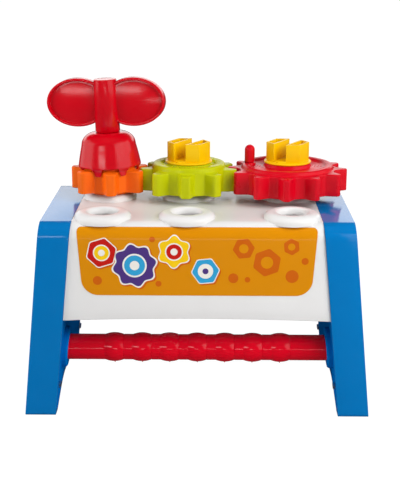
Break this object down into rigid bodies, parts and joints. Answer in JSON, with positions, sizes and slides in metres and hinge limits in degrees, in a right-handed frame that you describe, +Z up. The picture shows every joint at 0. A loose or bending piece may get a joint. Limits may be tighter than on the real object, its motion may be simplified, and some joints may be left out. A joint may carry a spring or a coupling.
{
  "type": "toddler activity bench",
  "caption": "Toddler gear bench: white tray on blue side frames, red cross bar, ring sockets, meshed gears on slotted hex bolts, crank peg and a lift-off wing key.",
  "frame": {"origin": "on the floor under the middle of the bench", "axes": "+X to the right of someone facing the printed panel, +Y to the back, +Z up"},
  "size_m": [0.35, 0.1996, 0.3294],
  "materials": {
    "white_plastic": "glossy white",
    "blue_plastic": "glossy blue",
    "red_plastic": "glossy red",
    "green_plastic": "satin yellow-green",
    "orange_plastic": "satin orange",
    "yellow_plastic": "satin yellow",
    "printed_panel": null,
    "steel": "zinc plated"
  },
  "bodies": {
    "bench": {"left_frame": "blue_plastic", "right_frame": "blue_plastic", "left_frame_cover": "blue_plastic", "right_frame_cover": "blue_plastic", "tray": "white_plastic", "printed_panel": "printed_panel", "bar_front_half": "red_plastic", "bar_rear_half": "red_plastic", "tray_screw_left_front": "steel", "tray_screw_left_rear": "steel", "tray_screw_right_front": "steel", "tray_screw_right_rear": "steel", "foot_screw_left_front": "steel", "foot_screw_left_rear": "steel", "foot_screw_right_front": "steel", "foot_screw_right_rear": "steel"},
    "red_gear": {"red_gear": "red_plastic", "crank_pin": "red_plastic"},
    "crank": {"crank_knob": "red_plastic"},
    "red_bolt": {"red_gear_bolt": "yellow_plastic"},
    "green_gear": {"green_gear": "green_plastic"},
    "green_bolt": {"green_gear_bolt": "yellow_plastic"},
    "orange_gear": {"orange_gear": "orange_plastic"},
    "orange_bolt": {"orange_gear_bolt": "yellow_plastic"},
    "key": {"key_bell": "red_plastic", "key_handle": "red_plastic"}
  },
  "joints": [
    {"name": "red_gear_spin", "type": "hinge", "parent": "bench", "child": "red_gear", "pos_m": [0.0951, 0.0275, 0.2], "axis": [0, 0, 1], "continuous": true},
    {"name": "green_gear_spin", "type": "hinge", "parent": "bench", "child": "green_gear", "pos_m": [-0.0104, 0.0275, 0.2], "axis": [0, 0, 1], "continuous": true},
    {"name": "orange_gear_spin", "type": "hinge", "parent": "bench", "child": "orange_gear", "pos_m": [-0.095, 0.0275, 0.2], "axis": [0, 0, 1], "continuous": true},
    {"name": "crank_knob_spin", "type": "hinge", "parent": "red_gear", "child": "crank", "pos_m": [0.0549, 0.0335, 0.2377], "axis": [0, 0, 1], "continuous": true},
    {"name": "red_bolt_lift", "type": "slide", "parent": "red_gear", "child": "red_bolt", "axis": [0, 0, 1], "range_m": [0, 0.07]},
    {"name": "green_bolt_lift", "type": "slide", "parent": "green_gear", "child": "green_bolt", "axis": [0, 0, 1], "range_m": [0, 0.04]},
    {"name": "orange_bolt_lift", "type": "slide", "parent": "orange_gear", "child": "orange_bolt", "axis": [0, 0, 1], "range_m": [0, 0.07]},
    {"name": "key_lift", "type": "slide", "parent": "orange_bolt", "child": "key", "axis": [0, 0, 1], "range_m": [0, 0.05]}
  ],
  "couplings": [
    {"joint": "green_gear_spin", "follows": "red_gear_spin", "ratio": -1.3333},
    {"joint": "orange_gear_spin", "follows": "red_gear_spin", "ratio": 1.7143}
  ]
}
